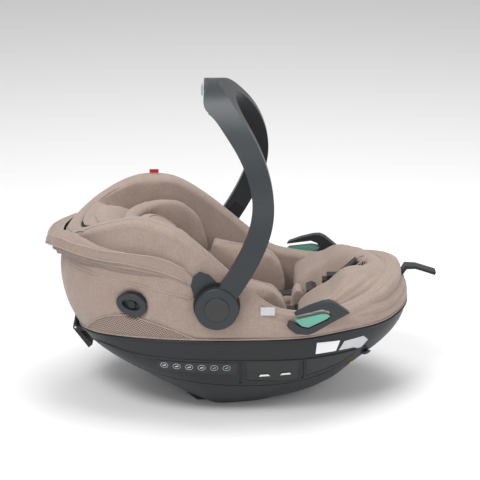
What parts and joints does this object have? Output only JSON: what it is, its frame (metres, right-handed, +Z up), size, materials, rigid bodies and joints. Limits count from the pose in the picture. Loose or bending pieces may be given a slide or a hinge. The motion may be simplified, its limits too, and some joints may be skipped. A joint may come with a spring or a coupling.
{
  "type": "infant car seat",
  "caption": "Rear-facing infant carrier: bucket shell on a rocker base, padded cover, folding canopy, harness, belt guides and a tall carry bow on side hubs.",
  "frame": {"origin": "on the floor, in the middle of the skid that the seat stands on", "axes": "+X towards the child's feet, +Z up, +Y to the child's left"},
  "size_m": [0.706, 0.44, 0.579],
  "materials": {
    "shell_plastic": "satin dark slate",
    "handle_plastic": "satin dark slate",
    "black_plastic": "fine matte",
    "gloss_black": "gloss",
    "knit_fabric": "melange knit",
    "weave_fabric": "plain weave",
    "webbing": "woven webbing",
    "foam": "expanded foam",
    "steel": "brushed",
    "mint_plastic": "satin",
    "grey_plastic": "satin",
    "label_white": "coated",
    "label_grey": "coated",
    "red_plastic": "gloss"
  },
  "bodies": {
    "seat": {"lower_shell": "shell_plastic", "rocker_base": "shell_plastic", "docking_frame": "black_plastic", "docking_bars": "steel", "base_screws": "steel", "side_cover": "knit_fabric", "foam_head": "foam", "foam_foot": "foam", "foam_side_right": "foam", "foam_side_left": "foam", "bucket_lining": "knit_fabric", "seat_pad": "knit_fabric", "leg_cover": "knit_fabric", "adapter_windows": "black_plastic", "textured_panels": "shell_plastic", "label_pale": "label_white", "label_grey": "label_grey", "lever_pin": "steel", "hub_housing_right": "black_plastic", "hub_housing_left": "black_plastic", "belt_guide_right": "handle_plastic", "belt_guide_left": "handle_plastic", "guide_inlays": "mint_plastic", "socket_bezel_right": "handle_plastic", "socket_bezel_left": "handle_plastic", "canopy_lower_fold": "weave_fabric", "canopy_bracket_right": "handle_plastic", "canopy_bracket_left": "handle_plastic", "canopy_pins": "gloss_black", "shoulder_pad_right": "knit_fabric", "shoulder_pad_left": "knit_fabric", "harness_straps": "webbing", "buckle_tongues": "gloss_black", "crotch_pad": "knit_fabric", "buckle_body": "gloss_black", "adjuster_strap": "webbing", "hip_bolster_right": "knit_fabric", "hip_bolster_left": "knit_fabric", "care_tag": "label_grey", "woven_tag": "webbing"},
    "handle": {"handle_bow": "handle_plastic", "hub_caps": "handle_plastic", "hub_badges": "black_plastic", "pivot_axles": "steel", "grip_tab": "grey_plastic"},
    "release_button_right": {"release_button_right": "black_plastic"},
    "release_button_left": {"release_button_left": "black_plastic"},
    "lock_gear_right": {"lock_gear_right": "grey_plastic"},
    "lock_gear_left": {"lock_gear_left": "grey_plastic"},
    "canopy_middle": {"canopy_middle_fold": "weave_fabric"},
    "canopy_front": {"canopy_front_fold": "weave_fabric", "canopy_rear_panel": "weave_fabric"},
    "headrest": {"headrest_core": "black_plastic", "headrest_cushion": "knit_fabric"},
    "base_lever": {"base_lever": "black_plastic"},
    "socket_button_right": {"socket_button_right": "black_plastic"},
    "socket_button_left": {"socket_button_left": "black_plastic"},
    "buckle_button": {"buckle_button": "red_plastic"},
    "adjuster_button": {"adjuster_button": "black_plastic"},
    "strap_tail": {"strap_tail": "webbing"}
  },
  "joints": [
    {"name": "handle_turn", "type": "hinge", "parent": "seat", "child": "handle", "pos_m": [-0.043, 0, 0.225], "axis": [0, 1, 0], "range_deg": [-120, 0]},
    {"name": "release_press_right", "type": "slide", "parent": "handle", "child": "release_button_right", "axis": [0, -1, 0], "range_m": [0, 0.003], "stiffness_N_per_m": 300, "springref_m": -0.001},
    {"name": "release_press_left", "type": "slide", "parent": "handle", "child": "release_button_left", "axis": [0, 1, 0], "range_m": [0, 0.003], "stiffness_N_per_m": 300, "springref_m": -0.001},
    {"name": "lock_slide_right", "type": "slide", "parent": "seat", "child": "lock_gear_right", "axis": [0, 1, 0], "range_m": [0, 0.004]},
    {"name": "lock_slide_left", "type": "slide", "parent": "seat", "child": "lock_gear_left", "axis": [0, -1, 0], "range_m": [0, 0.004]},
    {"name": "canopy_middle_turn", "type": "hinge", "parent": "seat", "child": "canopy_middle", "pos_m": [-0.07, 0, 0.265], "axis": [0, 1, 0], "range_deg": [0, 38]},
    {"name": "canopy_front_turn", "type": "hinge", "parent": "canopy_middle", "child": "canopy_front", "pos_m": [-0.07, 0, 0.265], "axis": [0, 1, 0], "range_deg": [0, 38]},
    {"name": "headrest_slide", "type": "slide", "parent": "seat", "child": "headrest", "axis": [-0.8325, 0, 0.5541], "range_m": [-0.018, 0.018]},
    {"name": "base_lever_pull", "type": "hinge", "parent": "seat", "child": "base_lever", "pos_m": [-0.301, 0, 0.134], "axis": [0, 1, 0], "range_deg": [0, 22], "stiffness_Nm_per_rad": 0.6, "springref_deg": -8.59},
    {"name": "socket_press_right", "type": "slide", "parent": "seat", "child": "socket_button_right", "axis": [0.3256, 0.9455, 0], "range_m": [0, 0.0025], "stiffness_N_per_m": 300, "springref_m": -0.001},
    {"name": "socket_press_left", "type": "slide", "parent": "seat", "child": "socket_button_left", "axis": [0.3256, -0.9455, 0], "range_m": [0, 0.0025], "stiffness_N_per_m": 300, "springref_m": -0.001},
    {"name": "buckle_press", "type": "slide", "parent": "seat", "child": "buckle_button", "axis": [-0.9823, 0, -0.1871], "range_m": [0, 0.0025], "stiffness_N_per_m": 600, "springref_m": -0.001},
    {"name": "adjuster_press", "type": "slide", "parent": "seat", "child": "adjuster_button", "axis": [0, 0, -1], "range_m": [0, 0.002], "stiffness_N_per_m": 400, "springref_m": -0.001},
    {"name": "strap_pull", "type": "slide", "parent": "seat", "child": "strap_tail", "axis": [1, 0, 0], "range_m": [0, 0.03]}
  ],
  "couplings": [
    {"joint": "canopy_front_turn", "follows": "canopy_middle_turn", "ratio": 1},
    {"joint": "lock_slide_right", "follows": "release_press_right", "ratio": 1.3333},
    {"joint": "lock_slide_left", "follows": "release_press_left", "ratio": 1.3333}
  ]
}
